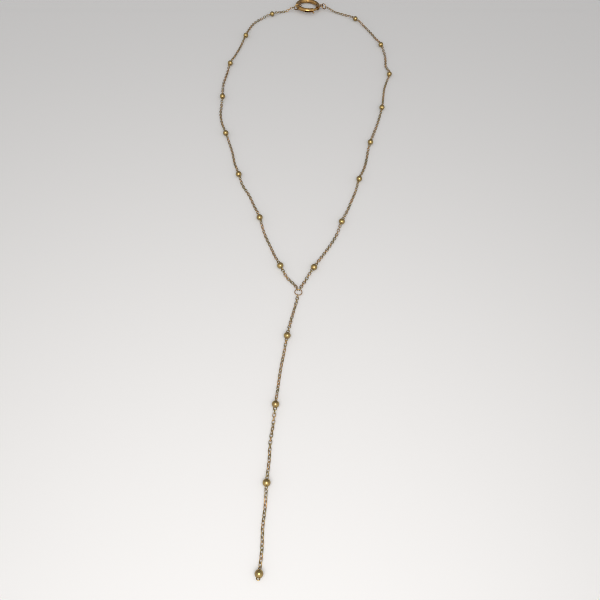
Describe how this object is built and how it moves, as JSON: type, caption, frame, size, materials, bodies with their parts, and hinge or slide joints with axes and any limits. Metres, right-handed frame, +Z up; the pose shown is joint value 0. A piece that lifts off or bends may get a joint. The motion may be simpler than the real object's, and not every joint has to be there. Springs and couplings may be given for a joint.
{
  "type": "necklace",
  "caption": "Y-shaped necklace of fine cable chain with evenly spaced round beads, a beaded drop at the front and a spring ring clasp.",
  "frame": {"origin": "middle of the outline of the laid-out necklace, on the surface that it lies on", "axes": "+Z up from the surface, +Y from the end of the drop to the clasp, +X to the right seen from the drop"},
  "size_m": [0.0795, 0.2859, 0.0042],
  "materials": {
    "bead_gold": "polished",
    "chain_gold": "polished",
    "clasp_gold": "polished"
  },
  "bodies": {
    "necklace": {"clasp_ring": "clasp_gold", "clasp_jump_ring": "clasp_gold", "end_jump_ring": "clasp_gold", "front_ring": "chain_gold", "chain_left_front": "chain_gold", "chain_right_front": "chain_gold", "chain_left_back": "chain_gold", "chain_right_back": "chain_gold", "chain_drop": "chain_gold", "bead_left_1": "bead_gold", "bead_left_2": "bead_gold", "bead_left_3": "bead_gold", "bead_left_4": "bead_gold", "bead_left_5": "bead_gold", "bead_left_6": "bead_gold", "bead_left_7": "bead_gold", "bead_left_8": "bead_gold", "bead_right_1": "bead_gold", "bead_right_2": "bead_gold", "bead_right_3": "bead_gold", "bead_right_4": "bead_gold", "bead_right_5": "bead_gold", "bead_right_6": "bead_gold", "bead_right_7": "bead_gold", "bead_right_8": "bead_gold", "bead_drop_1": "bead_gold", "bead_drop_2": "bead_gold", "bead_drop_3": "bead_gold", "bead_drop_4": "bead_gold"},
    "gate": {"clasp_gate": "clasp_gold"}
  },
  "joints": [
    {"name": "gate_slide", "type": "hinge", "parent": "necklace", "child": "gate", "pos_m": [-0.0035, 0.1365, 0.00162], "axis": [0, 0.1045, 0.9945], "range_deg": [-35, 0], "stiffness_Nm_per_rad": 0.005, "springref_deg": 17.19}
  ]
}
